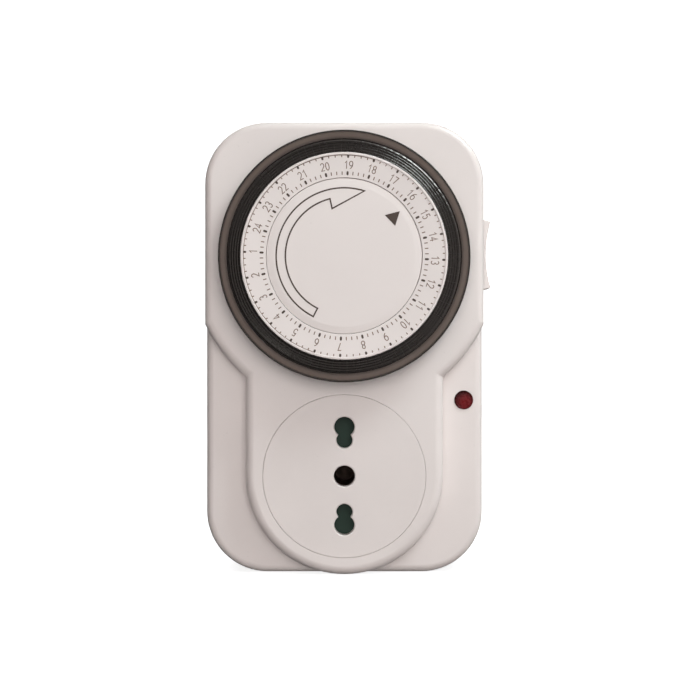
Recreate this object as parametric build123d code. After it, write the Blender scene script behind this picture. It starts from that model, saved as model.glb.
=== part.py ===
from build123d import *

import math
import os

# Plug-in mechanical 24-hour timer: a wall plug on its back, a socket outlet on its front, and a
# dial of push-down segments above it that switches the outlet by the quarter hour.
# Millimetres. +Z is up, the front faces -Y, and the origin is on the back face, on the axis of the
# middle (earth) pin. A "depth" is a distance forward from the back face, towards -Y.

# ---- driving dimensions ------------------------------------------------------------------------

BODY_WIDTH = 74.0
BODY_HEIGHT = 120.0
BODY_CORNER = 16.3
BODY_BOTTOM = -26.2  # height of the lower edge, below the earth pin
WALL = 2.2
FRONT_ROUNDING = 2.0
STEP_ROUNDING = 2.4
BACK_ROUNDING = 2.0

PARTING_DEPTH = 19.0
WING_DEPTH = 30.5  # recessed front faces beside the outlet
PLATFORM_DEPTH = 36.0  # raised front face that carries the dial and the outlet
LIP_HEIGHT = 1.5
PARTING_GROOVE = 0.3

DIAL_HEIGHT = 57.8  # dial centre above the earth pin
PLATFORM_ARC = 41.0  # radius of the platform's lower edge about the dial centre
BOSS_RADIUS = 26.2  # half width of the outlet's boss, and radius of its round lower end

PIN_LENGTH = 19.0
PIN_RADIUS = 2.5
PIN_TIP = 1.5
SLEEVE_LENGTH = 10.0
LARGE_PITCH = 13.0  # 16 A pins and holes, from the earth axis
SMALL_PITCH = 9.5  # 10 A holes, from the earth axis
LARGE_HOLE = 2.7
SMALL_HOLE = 2.15
EARTH_HOLE = 2.8

OUTLET_RADIUS = 21.6
OUTLET_GAP = 0.06

CAP_RADIUS = 20.2  # fixed disc in the middle of the dial
RING_INNER = 20.4
RING_OUTER = 26.95
SEGMENT_INNER = 27.15
SEGMENT_OUTER = 30.3
RIM_INNER = 30.45
RIM_OUTER = 32.8
DRUM_OUTER = 31.2
OPENING_RADIUS = 31.65

HOURS = 24
QUARTERS = 4  # segments to the hour
SET_HOURS = 2  # hours in one set of segments

MODULE = 0.4
DIAL_TEETH = 120
IDLER_PINION_TEETH = 12
IDLER_WHEEL_TEETH = 36
MOTOR_TEETH = 15
IDLER_DIRECTION = 195.0  # from the dial centre, degrees anticlockwise from +X
MOTOR_DIRECTION = 0.0  # from the idler's axle
PRESSURE_ANGLE = math.radians(20)
TOOTH_TIP = 0.75 * MODULE  # above the pitch circle
TOOTH_ROOT = 1.05 * MODULE  # below the pitch circle
TOOTH_THINNING = 0.05

ROCKER_HEIGHT = 59.0
ROCKER_HALF = 9.65
ROCKER_PIVOT_X = 33.2

RUNNING = 0.06  # radial clearance of a shaft in its bore
FIT = 0.05  # gap round a part that is pushed into place
OVERRUN = 1.0  # how far a cut runs past the wall it cuts

# ---- sizes worked out from them ----------------------------------------------------------------

half_width = BODY_WIDTH / 2
body_top = BODY_BOTTOM + BODY_HEIGHT
body_middle = BODY_BOTTOM + BODY_HEIGHT / 2
inner_wing = WING_DEPTH - WALL
inner_platform = PLATFORM_DEPTH - WALL
dial_radius = MODULE * DIAL_TEETH / 2
idler_distance = MODULE * (DIAL_TEETH + IDLER_PINION_TEETH) / 2
motor_distance = MODULE * (IDLER_WHEEL_TEETH + MOTOR_TEETH) / 2


# ---- helpers -----------------------------------------------------------------------------------


def front_plane(depth):
    """The drawing plane at a depth: its x is +X, its y is +Z, and it faces the front."""
    return Plane(origin=(0, -depth, 0), x_dir=(1, 0, 0), z_dir=(0, -1, 0))


def slab(sketch, back, front):
    return extrude(front_plane(back) * sketch, amount=front - back)


def disc(radius, back, front, x=0.0, z=0.0):
    return slab(Pos(x, z) * Circle(radius), back, front)


def ring(inner, outer, back, front, x=0.0, z=0.0):
    return slab(Pos(x, z) * (Circle(outer) - Circle(inner)), back, front)


def block(left, right, low, high, back, front):
    centre = Pos((left + right) / 2, (low + high) / 2)
    return slab(centre * Rectangle(right - left, high - low), back, front)


def polar(x, z, radius, degrees):
    angle = math.radians(degrees)
    return x + radius * math.cos(angle), z + radius * math.sin(angle)


def turned(profile, z):
    """A solid of revolution about a depth-wise axis, from (radius, depth) corners."""
    section = make_face(Polyline(*[(radius, -depth, z) for radius, depth in profile], close=True))
    return revolve(section, Axis((0, 0, z), (0, 1, 0)))


def edges_at(part, depth):
    """The edges that lie wholly at one depth."""
    return [
        edge
        for edge in part.edges()
        if all(abs(vertex.Y + depth) < 1e-4 for vertex in edge.vertices())
        and abs((edge @ 0.5).Y + depth) < 1e-4
    ]


def wire_lead(points, radius, bend):
    """A solid round conductor along straight runs joined by tangent arcs."""
    path = FilletPolyline(*points, radius=bend)
    return sweep(Plane(origin=path @ 0, z_dir=path % 0) * Circle(radius), path=path)


def spur(teeth, tooth_at, flank_points):
    """The outline of a spur gear with involute flanks, with one tooth centred on an angle.

    The teeth are short and slightly thin, as moulded timer gears are, so that they run freely.
    """
    pitch = MODULE * teeth / 2
    tip = pitch + TOOTH_TIP
    root = pitch - TOOTH_ROOT
    base = pitch * math.cos(PRESSURE_ANGLE)
    half_tooth = math.pi / (2 * teeth) - TOOTH_THINNING / pitch
    flank_start = max(base, root)

    def involute(radius):
        return math.sqrt(max((radius / base) ** 2 - 1, 0)) - math.acos(min(base / radius, 1))

    def half_angle(radius):
        return half_tooth + involute(pitch) - involute(radius)

    flank_step = (tip - flank_start) / (flank_points - 1)
    steps = [flank_start + flank_step * i for i in range(flank_points)]
    points = []
    for tooth in range(teeth):
        middle = math.radians(tooth_at) + 2 * math.pi * tooth / teeth
        rising = [(radius, middle - half_angle(radius)) for radius in steps]
        falling = [(radius, middle + half_angle(radius)) for radius in reversed(steps)]
        foot = half_angle(flank_start)
        for radius, angle in [(root, middle - foot), *rising, *falling, (root, middle + foot)]:
            point = (radius * math.cos(angle), radius * math.sin(angle))
            if not points or math.dist(point, points[-1]) > 1e-6:
                points.append(point)
    return make_face(Polyline(*points, close=True))


# ---- outlines ----------------------------------------------------------------------------------


def body_outline():
    return Pos(0, body_middle) * RectangleRounded(BODY_WIDTH, BODY_HEIGHT, BODY_CORNER)


def step_outline():
    """The raised platform's outline, running on past the sides and top of the body."""
    upper = Pos(0, DIAL_HEIGHT + BODY_HEIGHT / 2) * Rectangle(2 * BODY_WIDTH, BODY_HEIGHT)
    around_dial = Pos(0, DIAL_HEIGHT) * Circle(PLATFORM_ARC)
    boss = Pos(0, DIAL_HEIGHT / 2) * Rectangle(2 * BOSS_RADIUS, DIAL_HEIGHT) + Circle(BOSS_RADIUS)
    return upper + around_dial + boss


def keyhole(grow=0.0):
    """The joined 16 A and 10 A holes of one pole, above the earth axis."""
    large = Pos(0, LARGE_PITCH) * Circle(LARGE_HOLE + grow)
    small = Pos(0, SMALL_PITCH) * Circle(SMALL_HOLE + grow)
    return large + small


def screw_places():
    x = half_width - SCREW_INSET
    heights = (BODY_BOTTOM + SCREW_INSET, body_top - SCREW_INSET)
    return [(side * x, z) for side in (-1, 1) for z in heights]


# ---- housing -----------------------------------------------------------------------------------

SCREW_INSET = 8.8
SCREW_POST = 3.3
SCREW_HOLE = 1.5
SCREW_PILOT = 1.25
SCREW_SHANK = 1.23
SCREW_HEAD = 2.6
SCREW_HEAD_HEIGHT = 2.0
SCREW_SLOT_WIDTH = 0.6
SCREW_SLOT_LENGTH = 4.0
SCREW_SLOT_DEPTH = 1.0
SCREW_TIP_GAP = 2.0
PILOT_FLOOR = 1.0  # wall left in front of a screw's blind hole
COUNTERBORE_RADIUS = 2.9
COUNTERBORE_DEPTH = 9.0
PLATE_BACK = 20.5
PLATE_FRONT = 22.1
PILLAR_RADIUS = 2.5
STAKE_RADIUS = 1.2
STAKE_PROUD = 0.5
PLATE_PILLARS = [(-21.5, 34.0), (21.5, 34.0), (-21.5, 77.0), (21.5, 77.0)]
PIN_NECK = 2.0
PIN_RECESS = 3.0
PIN_RECESS_DEPTH = 0.4


def rear_housing():
    shell = slab(body_outline(), 0, PARTING_DEPTH)
    shell = fillet(edges_at(shell, 0), BACK_ROUNDING)
    shell -= slab(offset(body_outline(), -WALL), WALL, PARTING_DEPTH)
    lip = offset(body_outline(), -WALL / 2) - offset(body_outline(), -WALL)
    shell += slab(lip, PARTING_DEPTH, PARTING_DEPTH + LIP_HEIGHT)
    for x, z in screw_places():
        shell += disc(SCREW_POST, WALL, PARTING_DEPTH, x, z)
    for x, z in screw_places():
        shell -= disc(SCREW_HOLE, 0, PARTING_DEPTH, x, z)
        shell -= disc(COUNTERBORE_RADIUS, 0, COUNTERBORE_DEPTH, x, z)
    for x, z in PLATE_PILLARS:
        shell += disc(PILLAR_RADIUS, WALL, PLATE_BACK, x, z)
        shell += disc(STAKE_RADIUS, PLATE_BACK, PLATE_FRONT + STAKE_PROUD, x, z)
    for z in (-LARGE_PITCH, 0, LARGE_PITCH):
        shell -= disc(PIN_NECK + FIT, 0, WALL, 0, z)
        shell -= disc(PIN_RECESS, 0, PIN_RECESS_DEPTH, 0, z)
    return shell


ROCKER_BACK = 22.0
ROCKER_FRONT = 30.0
WINDOW_MARGIN = 0.5
LENS_X = 32.0
LENS_Z = 20.0
LENS_RADIUS = 2.5


def rounded_front(outline, front, radius):
    part = slab(outline, PARTING_DEPTH, front)
    return fillet(edges_at(part, front), radius)


def front_housing():
    lower = rounded_front(body_outline(), WING_DEPTH, FRONT_ROUNDING)
    upper = rounded_front(body_outline(), PLATFORM_DEPTH, FRONT_ROUNDING)
    step = rounded_front(step_outline(), PLATFORM_DEPTH, STEP_ROUNDING)
    shell = lower + (upper & step)
    inner_step = body_outline() & step_outline()
    shell -= slab(offset(body_outline(), -WALL), PARTING_DEPTH, inner_wing)
    shell -= slab(offset(inner_step, -WALL), PARTING_DEPTH, inner_platform)
    rebate = offset(body_outline(), FIT - WALL / 2)
    shell -= slab(rebate, PARTING_DEPTH, PARTING_DEPTH + LIP_HEIGHT + 2 * FIT)
    groove = body_outline() - offset(body_outline(), -PARTING_GROOVE)
    shell -= slab(groove, PARTING_DEPTH, PARTING_DEPTH + PARTING_GROOVE)
    for x, z in screw_places():
        ceiling = inner_platform if z > DIAL_HEIGHT else inner_wing
        shell += disc(SCREW_POST, PARTING_DEPTH, ceiling, x, z)
        shell -= disc(SCREW_PILOT, PARTING_DEPTH, ceiling - PILOT_FLOOR, x, z)
    shell -= disc(OPENING_RADIUS, inner_platform, PLATFORM_DEPTH, 0, DIAL_HEIGHT)
    shell -= disc(OUTLET_RADIUS + OUTLET_GAP, inner_platform, PLATFORM_DEPTH)
    shell -= disc(LENS_RADIUS + FIT, inner_wing, WING_DEPTH, LENS_X, LENS_Z)
    half_window = ROCKER_HALF + WINDOW_MARGIN
    shell -= block(
        half_width - WALL - OVERRUN,
        half_width + OVERRUN,
        ROCKER_HEIGHT - half_window,
        ROCKER_HEIGHT + half_window,
        ROCKER_BACK - WINDOW_MARGIN,
        ROCKER_FRONT + WINDOW_MARGIN,
    )
    return shell


def housing_screws():
    """Four self-tapping screws, driven from the back."""
    head_back = COUNTERBORE_DEPTH - SCREW_HEAD_HEIGHT
    slot = Rectangle(SCREW_SLOT_LENGTH, SCREW_SLOT_WIDTH)
    cross = slot + Rot(0, 0, 90) * slot
    screws = []
    for x, z in screw_places():
        head = disc(SCREW_HEAD, head_back, COUNTERBORE_DEPTH, x, z)
        head -= slab(Pos(x, z) * cross, head_back, head_back + SCREW_SLOT_DEPTH)
        shank = disc(SCREW_SHANK, COUNTERBORE_DEPTH, inner_wing - SCREW_TIP_GAP, x, z)
        screws.append(head + shank)
    return Compound(children=screws)


# ---- plug and outlet ---------------------------------------------------------------------------

FLANGE_RADIUS = 4.0
FLANGE_FRONT = 3.7
PIN_TIP_ROUNDING = 1.49
DISC_FLANGE = 23.0
DISC_ROUNDING = 0.15
HOLE_CHAMFER = 0.25
DISC_BACK = 32.0
DISC_STEP = inner_platform
SHUTTER_BACK = 29.8
SHUTTER_FRONT = 31.4
SHUTTER_RADIUS = 19.5
SHUTTER_TURN = 28.0
SHUTTER_MARGIN = 0.3
SPIGOT_RADIUS = 4.6
BLOCK_BACK = 16.2
BLOCK_FRONT = 29.2
BLOCK_RADIUS = 20.0
CAVITY_MARGIN = 1.05  # block's cavities, beyond the outline of the holes
CONTACT_MARGIN = 1.0  # outside of the contacts in them
CONTACT_BORE = 0.1  # inside of those contacts
CONTACT_FLOOR = 1.0
CONTACT_SETBACK = 0.5
EARTH_TUBE_WALL = 0.7
STEM_RADIUS = 2.0
BUS_THICKNESS = 0.8


def pin_flange(z):
    return disc(FLANGE_RADIUS, WALL, FLANGE_FRONT, 0, z) + disc(PIN_NECK, 0, WALL, 0, z)


def plug_pin(z, sleeved):
    """A plug pin with its inner flange; a sleeved pin is thinner under its sleeve."""
    straight = PIN_LENGTH - PIN_TIP
    metal_start = SLEEVE_LENGTH if sleeved else 0.0
    shank = disc(PIN_RADIUS, -straight, -metal_start, 0, z)
    tip = disc(PIN_RADIUS, -PIN_LENGTH, -straight, 0, z)
    pin = shank + fillet(edges_at(tip, -PIN_LENGTH), PIN_TIP_ROUNDING)
    if sleeved:
        pin += disc(PIN_NECK, -metal_start, 0, 0, z)
    return pin + pin_flange(z)


def pin_sleeves():
    """The insulating sleeves next to the back face, on the two current-carrying pins."""
    return Compound(
        children=[
            ring(PIN_NECK, PIN_RADIUS, -SLEEVE_LENGTH, 0, 0, z)
            for z in (-LARGE_PITCH, LARGE_PITCH)
        ]
    )


def outlet_disc():
    face = disc(OUTLET_RADIUS, DISC_BACK, PLATFORM_DEPTH)
    face = fillet(edges_at(face, PLATFORM_DEPTH), DISC_ROUNDING)
    face += disc(DISC_FLANGE, DISC_BACK, DISC_STEP)
    for turn in (0, 180):
        face -= slab(Rot(0, 0, turn) * keyhole(), DISC_BACK, PLATFORM_DEPTH)
    face -= disc(EARTH_HOLE, DISC_BACK, PLATFORM_DEPTH)
    front_edges = edges_at(face, PLATFORM_DEPTH)
    mouths = [edge for edge in front_edges if edge.bounding_box().size.Z < OUTLET_RADIUS]
    return chamfer(mouths, HOLE_CHAMFER)


def shutter():
    """A round shutter that turns about the earth axis and uncovers both poles together."""
    plate = disc(SHUTTER_RADIUS, SHUTTER_BACK, SHUTTER_FRONT)
    plate -= disc(SPIGOT_RADIUS + RUNNING, SHUTTER_BACK, SHUTTER_FRONT)
    for turn in (0, 180):
        window = Rot(0, 0, turn + SHUTTER_TURN) * keyhole(SHUTTER_MARGIN)
        plate -= slab(window, SHUTTER_BACK, SHUTTER_FRONT)
    return plate


def contact_block():
    """The insulating block round the three contacts, with the shutter's spigot on its front."""
    body = disc(BLOCK_RADIUS, BLOCK_BACK, BLOCK_FRONT)
    body += disc(SPIGOT_RADIUS, BLOCK_FRONT, DISC_BACK)
    for turn in (0, 180):
        body -= slab(Rot(0, 0, turn) * keyhole(CAVITY_MARGIN), BLOCK_BACK, BLOCK_FRONT)
    return body - disc(EARTH_HOLE + CAVITY_MARGIN, BLOCK_BACK, DISC_BACK)


def pole_contact(turn):
    """A sprung brass socket for 4 mm and 5 mm pins, closed at its back."""
    front = BLOCK_FRONT - CONTACT_SETBACK
    outer = slab(Rot(0, 0, turn) * keyhole(CONTACT_MARGIN), BLOCK_BACK, front)
    inner = slab(Rot(0, 0, turn) * keyhole(CONTACT_BORE), BLOCK_BACK + CONTACT_FLOOR, front)
    return outer - inner


def live_contact():
    """The switched pole's contact; the strip on its back leads to the switch."""
    return pole_contact(0)


def neutral_contact():
    return pole_contact(180) + disc(STEM_RADIUS, FLANGE_FRONT, BLOCK_BACK, 0, -LARGE_PITCH)


def earth_contact():
    outer = EARTH_HOLE + EARTH_TUBE_WALL
    floor_back = BLOCK_BACK - CONTACT_FLOOR
    tube = ring(EARTH_HOLE - CONTACT_BORE, outer, BLOCK_BACK, DISC_BACK - CONTACT_SETBACK)
    closed_end = disc(outer, floor_back, BLOCK_BACK)
    return tube + closed_end + disc(STEM_RADIUS, FLANGE_FRONT, floor_back)


# ---- mechanism plate, motor and gears ----------------------------------------------------------

idler_x, idler_z = polar(0, DIAL_HEIGHT, idler_distance, IDLER_DIRECTION)
motor_x, motor_z = polar(idler_x, idler_z, motor_distance, MOTOR_DIRECTION)
PLATE_LEFT = -30.0
PLATE_RIGHT = 24.0
PLATE_LOW = 30.5
PLATE_HIGH = 80.5
TONGUE_RIGHT = 30.5  # the plate's tongue carries the switch lever
TONGUE_HALF = 2.5
CAN_X = -3.0
CAN_RADIUS = 19.0
CAN_ROUNDING = 1.2
CAN_BACK = 5.5
CAN_FRONT = 19.0
COVER_EAR = 2.6
MOTOR_SCREW_REACH = 2.5  # screws' distance outside the can
MOTOR_SCREW_HOLE = 0.9
MOTOR_SCREW_SHANK = 0.85
MOTOR_SCREW_HEAD = 1.6
MOTOR_SCREW_HEAD_HEIGHT = 0.5
BEARING_RADIUS = 3.0
BEARING_PROUD = 0.3
SHAFT_RADIUS = 1.25
SHAFT_WELL_RADIUS = 2.25
SHAFT_WELL_DEPTH = 4.0
SHAFT_IN_MOTOR = 3.0
AXLE_RADIUS = 1.0
POST_RADIUS = 3.5
POST_TIP = 2.2
GEAR_BACK = 26.6
GEAR_FRONT = 29.5
WHEEL_BACK = 22.9
WHEEL_FRONT = 25.1
PINION_OVERHANG = 0.2
PINION_SETBACK = 0.2
AXLE_SETBACK = 0.1

LEVER_PIVOT_Z = 36.0
LEVER_PIVOT_DEPTH = 24.5
LEVER_LEFT = 25.3
LEVER_RIGHT = 28.7
EAR_THICKNESS = 0.8
EAR_HALF = 2.0
LEVER_GAP = 0.2
LEVER_PIN = 0.8


def mechanism_plate():
    """The plate that carries the dial post, the motor, the idler's axle and the switch lever."""
    tongue_low = LEVER_PIVOT_Z - TONGUE_HALF
    tongue_high = LEVER_PIVOT_Z + TONGUE_HALF
    plate = block(PLATE_LEFT, PLATE_RIGHT, PLATE_LOW, PLATE_HIGH, PLATE_BACK, PLATE_FRONT)
    plate += block(PLATE_RIGHT, TONGUE_RIGHT, tongue_low, tongue_high, PLATE_BACK, PLATE_FRONT)
    for left in (LEVER_LEFT - LEVER_GAP - EAR_THICKNESS, LEVER_RIGHT + LEVER_GAP):
        plate += block(
            left,
            left + EAR_THICKNESS,
            LEVER_PIVOT_Z - EAR_HALF,
            LEVER_PIVOT_Z + EAR_HALF,
            PLATE_FRONT,
            LEVER_PIVOT_DEPTH + EAR_HALF,
        )
    plate -= lever_pin_solid(LEVER_PIN)
    for x, z in PLATE_PILLARS:
        plate -= disc(STAKE_RADIUS + FIT, PLATE_BACK, PLATE_FRONT, x, z)
    plate -= disc(BEARING_RADIUS + 2 * FIT, PLATE_BACK, PLATE_FRONT, motor_x, motor_z)
    for x, z in motor_screw_places():
        plate -= disc(MOTOR_SCREW_HOLE, PLATE_BACK, PLATE_FRONT, x, z)
    return plate


def lever_pin_solid(radius):
    left = LEVER_LEFT - LEVER_GAP - EAR_THICKNESS
    length = LEVER_RIGHT + LEVER_GAP + EAR_THICKNESS - left
    across = Plane(origin=(left, -LEVER_PIVOT_DEPTH, LEVER_PIVOT_Z), z_dir=(1, 0, 0))
    return extrude(across * Circle(radius), amount=length)


def motor_screw_places():
    reach = CAN_RADIUS + MOTOR_SCREW_REACH
    return [(CAN_X + side * reach, DIAL_HEIGHT) for side in (-1, 1)]


def motor_can():
    """The drawn steel can of the sealed synchronous geared motor."""
    can = disc(CAN_RADIUS, CAN_BACK, CAN_FRONT, CAN_X, DIAL_HEIGHT)
    can = fillet(edges_at(can, CAN_BACK), CAN_ROUNDING)
    well_back = CAN_FRONT - SHAFT_WELL_DEPTH
    return can - disc(SHAFT_WELL_RADIUS, well_back, CAN_FRONT, motor_x, motor_z)


def motor_cover():
    """The motor's front plate, with two fixing ears and the output shaft's bearing."""
    bearing_front = PLATE_FRONT + BEARING_PROUD
    cover = disc(CAN_RADIUS, CAN_FRONT, PLATE_BACK, CAN_X, DIAL_HEIGHT)
    for x, z in motor_screw_places():
        cover += disc(COVER_EAR, CAN_FRONT, PLATE_BACK, x, z)
    for x, z in motor_screw_places():
        cover -= disc(MOTOR_SCREW_HOLE, CAN_FRONT, PLATE_BACK, x, z)
    cover += disc(BEARING_RADIUS, PLATE_BACK, bearing_front, motor_x, motor_z)
    return cover - disc(SHAFT_RADIUS + RUNNING, CAN_FRONT, bearing_front, motor_x, motor_z)


def motor_screws():
    head_front = PLATE_FRONT + MOTOR_SCREW_HEAD_HEIGHT
    screws = []
    for x, z in motor_screw_places():
        shank = disc(MOTOR_SCREW_SHANK, CAN_FRONT, PLATE_FRONT, x, z)
        screws.append(shank + disc(MOTOR_SCREW_HEAD, PLATE_FRONT, head_front, x, z))
    return Compound(children=screws)


def motor_pinion():
    """The motor's output shaft with its pinion, which is a little wider than the idler's wheel."""
    facing = MOTOR_DIRECTION + 180 + 180 / MOTOR_TEETH
    outline = Pos(motor_x, motor_z) * spur(MOTOR_TEETH, facing, flank_points=4)
    pinion = slab(outline, WHEEL_BACK - PINION_OVERHANG, WHEEL_FRONT + PINION_OVERHANG)
    return pinion + disc(SHAFT_RADIUS, CAN_FRONT - SHAFT_IN_MOTOR, WHEEL_BACK, motor_x, motor_z)


def idler_axle():
    return disc(AXLE_RADIUS, PLATE_FRONT, GEAR_FRONT - AXLE_SETBACK, idler_x, idler_z)


def idler_gear():
    """The compound gear: a wheel driven by the motor and a pinion that drives the dial."""
    facing = IDLER_DIRECTION + 180 + 180 / IDLER_PINION_TEETH
    place = Pos(idler_x, idler_z)
    wheel_teeth = spur(IDLER_WHEEL_TEETH, MOTOR_DIRECTION, flank_points=3)
    pinion_teeth = spur(IDLER_PINION_TEETH, facing, flank_points=4)
    gear = slab(place * wheel_teeth, WHEEL_BACK, WHEEL_FRONT)
    gear += slab(place * pinion_teeth, WHEEL_FRONT, GEAR_FRONT - PINION_SETBACK)
    return gear - disc(AXLE_RADIUS + RUNNING, WHEEL_BACK, GEAR_FRONT, idler_x, idler_z)


# ---- dial --------------------------------------------------------------------------------------

WEB_BACK = GEAR_FRONT
WEB_FRONT = 31.5
HUB_RADIUS = 6.0
HUB_BACK = 24.0
HUB_FRONT = 40.6
DRUM_WALL_INNER = 25.6
DRUM_WALL_OUTER = 27.0
DRUM_WALL_FRONT = 41.2
SEGMENT_BACK = 33.0
SEGMENT_FRONT = 44.0
SEGMENT_GAP = 0.1
SEGMENT_PUSH = 2.8  # how far a segment is pushed in
RIM_BACK = 36.4
RIM_FRONT = 43.6
RIM_ROUNDING = 0.5
RIB_THICKNESS = 0.4
RIB_CLEARANCE = 0.1
RIB_OVERLAP = 0.3  # how far a rib's ends run into the drum's walls
RING_FRONT = 43.9
RING_LIP = 0.4
RING_LIP_WIDTH = 0.6
POST_SHOULDER = 1.0
POST_FRONT = HUB_FRONT + 0.2
WASHER_PLAY = 0.05
CAP_BACK = 41.2
CAP_FRONT = 44.1
CAP_EDGE_DROP = 0.35
CAP_EDGE_WIDTH = 1.8
CAP_SOCKET = 1.5
CAP_FIT = 0.03
GEAR_RING_WIDTH = 4.0
FIRST_HOUR = 162.7  # where the dial's zero o'clock mark stands, degrees anticlockwise from +X
HOUR_ANGLE = 360 / HOURS
QUARTER_ANGLE = HOUR_ANGLE / QUARTERS


def dial_gear():
    """The ring gear on the drum's back."""
    teeth = spur(DIAL_TEETH, IDLER_DIRECTION, flank_points=2)
    ring_outline = teeth - Circle(dial_radius - GEAR_RING_WIDTH)
    return slab(Pos(0, DIAL_HEIGHT) * ring_outline, GEAR_BACK, GEAR_FRONT)


def hour_ribs(margin=0.0):
    """Outlines of the drum's radial ribs, one at each hour mark."""
    inner = DRUM_WALL_OUTER - RIB_OVERLAP
    outer = RIM_INNER + RIB_OVERLAP
    rib = Pos((inner + outer) / 2, 0) * Rectangle(outer - inner, RIB_THICKNESS + 2 * margin)
    turns = [FIRST_HOUR + HOUR_ANGLE * hour for hour in range(HOURS)]
    return Pos(0, DIAL_HEIGHT) * (Sketch() + [Rot(0, 0, turn) * rib for turn in turns])


def dial_drum():
    """The turning drum: hub, web, inner wall and a low outer wall joined by one rib to the hour."""
    drum = ring(POST_RADIUS + RUNNING, HUB_RADIUS, HUB_BACK, HUB_FRONT, 0, DIAL_HEIGHT)
    drum += ring(HUB_RADIUS, DRUM_WALL_OUTER, WEB_BACK, WEB_FRONT, 0, DIAL_HEIGHT)
    drum += ring(DRUM_WALL_INNER, DRUM_WALL_OUTER, WEB_BACK, DRUM_WALL_FRONT, 0, DIAL_HEIGHT)
    drum += ring(RIM_INNER, DRUM_OUTER, SEGMENT_BACK, RIM_BACK, 0, DIAL_HEIGHT)
    return drum + slab(hour_ribs(), SEGMENT_BACK, RIM_BACK)


def number_ring():
    """The printed 24-hour ring, with a raised lip round its edge."""
    lip_front = RING_FRONT + RING_LIP
    face = ring(RING_INNER, RING_OUTER, DRUM_WALL_FRONT, RING_FRONT, 0, DIAL_HEIGHT)
    lip = ring(RING_OUTER - RING_LIP_WIDTH, RING_OUTER, RING_FRONT, lip_front, 0, DIAL_HEIGHT)
    return face + lip


def dial_rim():
    """The smoked, transparent grip ring round the segments."""
    rim = ring(RIM_INNER, RIM_OUTER, RIM_BACK, RIM_FRONT, 0, DIAL_HEIGHT)
    return fillet(edges_at(rim, RIM_FRONT), RIM_ROUNDING)


def segment_outline(start, end):
    """A piece of the segments' ring between two angles."""
    reach = 2 * SEGMENT_OUTER
    rays = Polyline((0, 0), polar(0, 0, reach, start), polar(0, 0, reach, end), close=True)
    return (Circle(SEGMENT_OUTER) - Circle(SEGMENT_INNER)) & make_face(rays)


def segments(first_hour):
    """One set of quarter-hour segments, from an even hour mark to the next, in the out position.

    Next to the hour marks their backs are notched, and straddle the ribs however far they go in.
    """
    half_gap = math.degrees(SEGMENT_GAP / SEGMENT_INNER) / 2
    notch_front = RIM_BACK + SEGMENT_PUSH + RIB_CLEARANCE
    notches = slab(hour_ribs(RIB_CLEARANCE), SEGMENT_BACK, notch_front)
    pieces = []
    for index in range(SET_HOURS * QUARTERS):
        start = FIRST_HOUR + HOUR_ANGLE * first_hour + QUARTER_ANGLE * index
        outline = segment_outline(start + half_gap, start + QUARTER_ANGLE - half_gap)
        key = slab(Pos(0, DIAL_HEIGHT) * outline, SEGMENT_BACK, SEGMENT_FRONT)
        pieces.append(key - notches if index % QUARTERS in (0, QUARTERS - 1) else key)
    return Compound(children=pieces)


def centre_post():
    """The fixed post that the dial turns on; its tip holds the centre cap."""
    tip_front = CAP_BACK + CAP_SOCKET
    post = disc(HUB_RADIUS, PLATE_FRONT, PLATE_FRONT + POST_SHOULDER, 0, DIAL_HEIGHT)
    post += disc(POST_RADIUS, PLATE_FRONT, POST_FRONT, 0, DIAL_HEIGHT)
    return post + disc(POST_TIP, POST_FRONT, tip_front, 0, DIAL_HEIGHT)


def dial_washer():
    back = PLATE_FRONT + POST_SHOULDER + WASHER_PLAY
    return ring(POST_RADIUS + 2 * FIT, HUB_RADIUS, back, HUB_BACK - WASHER_PLAY, 0, DIAL_HEIGHT)


def centre_cap():
    """The fixed cap inside the number ring, which carries the arrow and the time pointer."""
    profile = [
        (0, CAP_BACK),
        (CAP_RADIUS, CAP_BACK),
        (CAP_RADIUS, CAP_FRONT - CAP_EDGE_DROP),
        (CAP_RADIUS - CAP_EDGE_WIDTH, CAP_FRONT),
        (0, CAP_FRONT),
    ]
    socket = disc(POST_TIP + CAP_FIT, CAP_BACK, CAP_BACK + CAP_SOCKET, 0, DIAL_HEIGHT)
    return turned(profile, DIAL_HEIGHT) - socket


# ---- switch ------------------------------------------------------------------------------------

LEVER_BACK = 23.2
LEVER_FRONT = 25.8
LEVER_TOP = 56.0
LEVER_TAIL = 2.0  # below the pivot
NOSE_FRONT = 29.9
NOSE_LOW = 46.6
NOSE_HIGH = 49.4
NOSE_LEFT = 26.2
STRIP_LOW = 41.0
STRIP_INSET = 0.5
STRIP_THICKNESS = 0.4
RIVET_Z = 54.0
RIVET_RADIUS = 1.4
RIVET_HEIGHT = 0.8
LEVER_MIDDLE = (LEVER_LEFT + LEVER_RIGHT) / 2
BUS_HALF = 2.0
BUS_BACK = FLANGE_FRONT
BUS_FRONT = BUS_BACK + BUS_THICKNESS
SHELF_BACK = 19.0
SHELF_FRONT = SHELF_BACK + BUS_THICKNESS
SHELF_TOP = RIVET_Z + 1.5
CONTACT_FRONT = 20.5
SWITCHED_BACK = BLOCK_BACK - BUS_THICKNESS
SWITCHED_HALF = 1.0
SWITCHED_TOP = 32.0


def switch_lever():
    """The lever whose nose the pushed-in segments press; its end carries the moving contact."""
    low = LEVER_PIVOT_Z - LEVER_TAIL
    lever = block(LEVER_LEFT, LEVER_RIGHT, low, LEVER_TOP, LEVER_BACK, LEVER_FRONT)
    lever += block(NOSE_LEFT, LEVER_RIGHT, NOSE_LOW, NOSE_HIGH, LEVER_FRONT, NOSE_FRONT)
    return lever - lever_pin_solid(LEVER_PIN + RUNNING)


def lever_pin():
    return lever_pin_solid(LEVER_PIN)


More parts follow.
